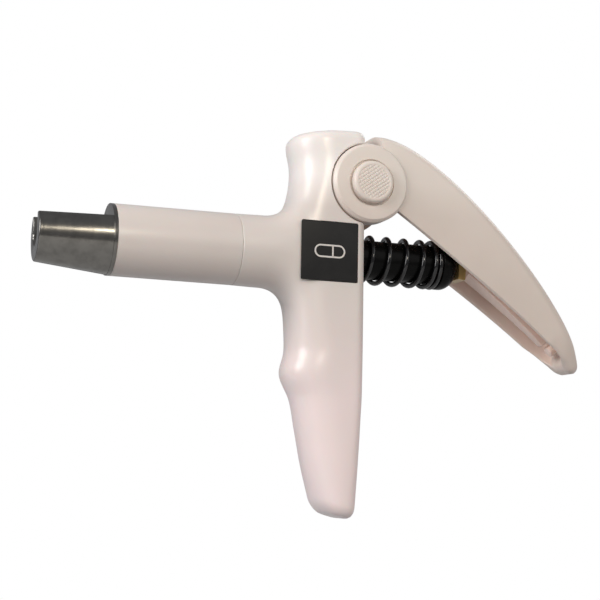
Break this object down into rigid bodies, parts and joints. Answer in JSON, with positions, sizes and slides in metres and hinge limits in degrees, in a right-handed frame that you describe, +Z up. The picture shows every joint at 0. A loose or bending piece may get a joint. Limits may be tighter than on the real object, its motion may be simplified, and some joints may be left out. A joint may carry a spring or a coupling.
{
  "type": "dental capsule applicator",
  "caption": "Hand-held dispenser for dental filling capsules: a grip, a barrel with an open steel capsule trough, and a squeeze lever that drives a sprung plunger.",
  "frame": {"origin": "on the barrel axis, at the barrel's front face, where the capsule holder's flange seats and a capsule's rear end sits", "axes": "+X along the barrel towards the lever, -X out through the capsule trough, +Z up with the grip hanging down, Y across the body"},
  "size_m": [0.1502, 0.0246, 0.1021],
  "materials": {
    "warm_white_plastic": "glossy warm white moulded plastic with soft reflections",
    "lever_plastic": "satin warm white moulded plastic, a little duller than the body",
    "brushed_steel_holder": "turned stainless steel with fine rings round the barrel axis",
    "bright_steel": "ground bright steel",
    "black_spring_steel": "black coated spring wire, glossy",
    "black_plastic": "glossy black plastic",
    "black_rubber": "matte black rubber",
    "black_label": "matte black label film",
    "amber_acetal": "translucent-looking amber bearing plastic"
  },
  "bodies": {
    "body": {"body_housing": "warm_white_plastic", "barrel_sleeve": "warm_white_plastic", "capsule_holder": "brushed_steel_holder", "holder_o_ring": "black_rubber", "front_guide_bush": "amber_acetal", "rear_guide_bush": "amber_acetal", "spring_seat_washer": "bright_steel", "hinge_bush_left": "amber_acetal", "hinge_bush_right": "amber_acetal", "label_plate": "black_label", "return_spring": "black_spring_steel"},
    "lever": {"lever_shell": "lever_plastic", "cam_pad": "amber_acetal", "hinge_axle": "bright_steel", "hinge_button_left": "lever_plastic", "hinge_button_right": "lever_plastic"},
    "plunger": {"plunger_rod": "bright_steel", "plunger_tip": "bright_steel", "stop_collar": "bright_steel", "stop_buffer": "black_rubber", "spring_guide_sleeve": "black_plastic", "plunger_cap": "black_plastic", "cap_pin": "bright_steel"}
  },
  "joints": [
    {"name": "lever_hinge", "type": "hinge", "parent": "body", "child": "lever", "pos_m": [0.0654, 0, 0.0185], "axis": [0, 1, 0], "range_deg": [0, 36], "stiffness_Nm_per_rad": 0.4, "springref_deg": -11.46},
    {"name": "plunger_slide", "type": "slide", "parent": "body", "child": "plunger", "axis": [-1, 0, 0], "range_m": [0, 0.01163], "deforming": ["return_spring"]}
  ],
  "couplings": [
    {"joint": "plunger_slide", "follows": "lever_hinge", "m_per_rad": 0.0185}
  ]
}
